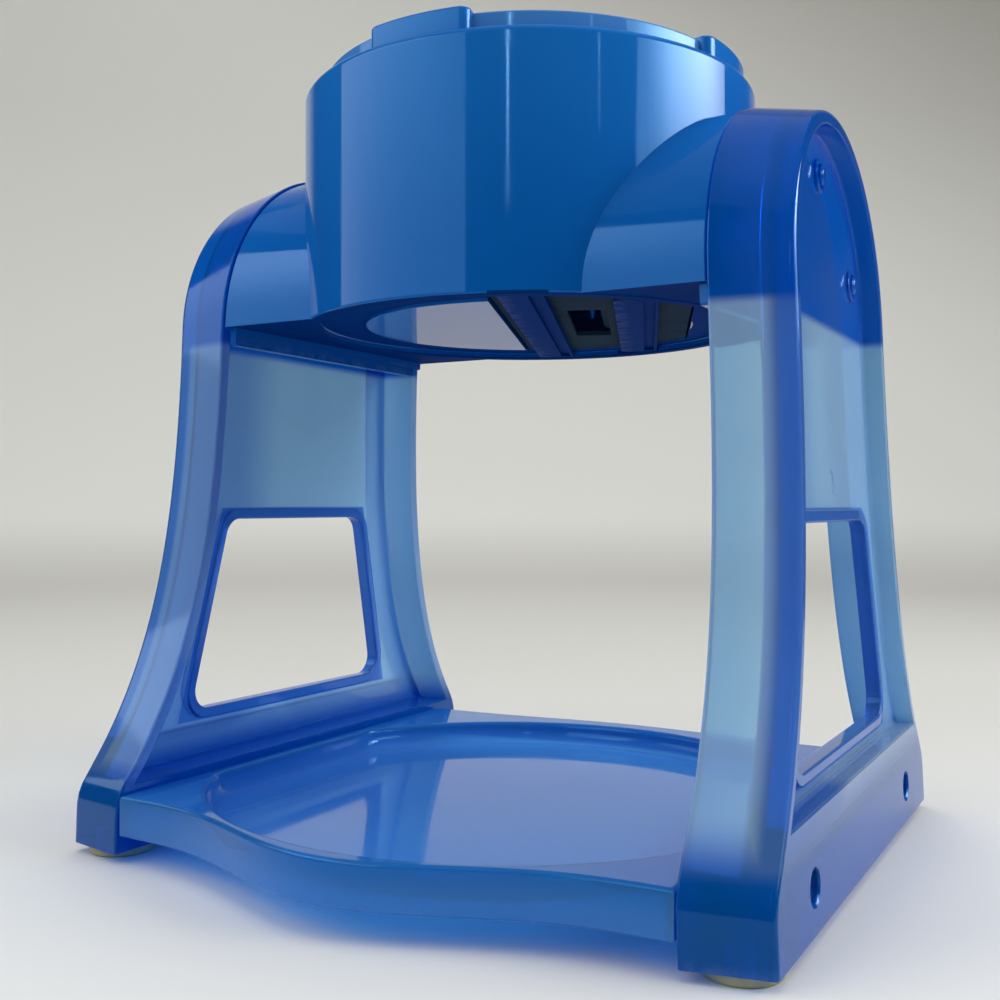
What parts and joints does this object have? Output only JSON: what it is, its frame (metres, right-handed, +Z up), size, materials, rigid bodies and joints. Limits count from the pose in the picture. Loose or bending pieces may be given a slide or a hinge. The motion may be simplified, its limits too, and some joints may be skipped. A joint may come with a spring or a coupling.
{
  "type": "hand cranked ice shaver",
  "caption": "Table-top ice shaver: a round ice drum on two arched, windowed side frames over a bowed tray, with a bayonet lid, crank, spiked presser, cutter plate and blade.",
  "frame": {"origin": "on the table under the middle of the whole outline; the drum's axis is 11.5 mm behind it", "axes": "+Z up along the drum's axis, -Y towards the front with the tray's deep bow, +X to the right"},
  "size_m": [0.2698, 0.259, 0.3509],
  "materials": {
    "blue": "glossy translucent blue",
    "clear_blue": "glossy translucent blue, thinner walls",
    "rubber": "matt tan",
    "steel": "brushed",
    "nylon": "matt off-white"
  },
  "bodies": {
    "stand": {"drum_housing": "blue", "side_frame_left": "clear_blue", "side_frame_right": "clear_blue", "base_tray": "clear_blue", "cutter_plate": "steel", "shaving_blade": "steel", "blade_screw_back": "steel", "blade_screw_front": "steel", "foot_left_back": "rubber", "foot_left_front": "rubber", "foot_right_back": "rubber", "foot_right_front": "rubber", "arch_screw_left_back": "steel", "arch_screw_left_front": "steel", "arch_screw_left_top": "steel", "arch_screw_right_back": "steel", "arch_screw_right_front": "steel", "arch_screw_right_top": "steel", "base_screw_left_back": "steel", "base_screw_left_front": "steel", "base_screw_right_back": "steel", "base_screw_right_front": "steel"},
    "lid": {"lid": "blue", "shaft_bush": "nylon"},
    "crank": {"crank_arm": "blue", "crank_screw": "steel", "crank_washer": "steel", "drive_shaft": "steel", "shaft_clip": "steel", "knob_pin": "steel", "presser_spring": "steel"},
    "knob": {"crank_knob": "blue"},
    "presser": {"ice_presser": "blue"}
  },
  "joints": [
    {"name": "lid_turn", "type": "hinge", "parent": "stand", "child": "lid", "pos_m": [0, 0.0115, 0.293], "axis": [0, 0, 1], "range_deg": [0, 30]},
    {"name": "crank_spin", "type": "hinge", "parent": "lid", "child": "crank", "pos_m": [0, 0.0115, 0.306], "axis": [0, 0, 1], "continuous": true},
    {"name": "knob_spin", "type": "hinge", "parent": "crank", "child": "knob", "pos_m": [-0.03297, 0.07097, 0.33], "axis": [0, 0, 1], "continuous": true},
    {"name": "presser_slide", "type": "slide", "parent": "crank", "child": "presser", "axis": [0, 0, 1], "range_m": [0, 0.032], "stiffness_N_per_m": 300, "springref_m": -0.02, "deforming": ["presser_spring"]}
  ]
}
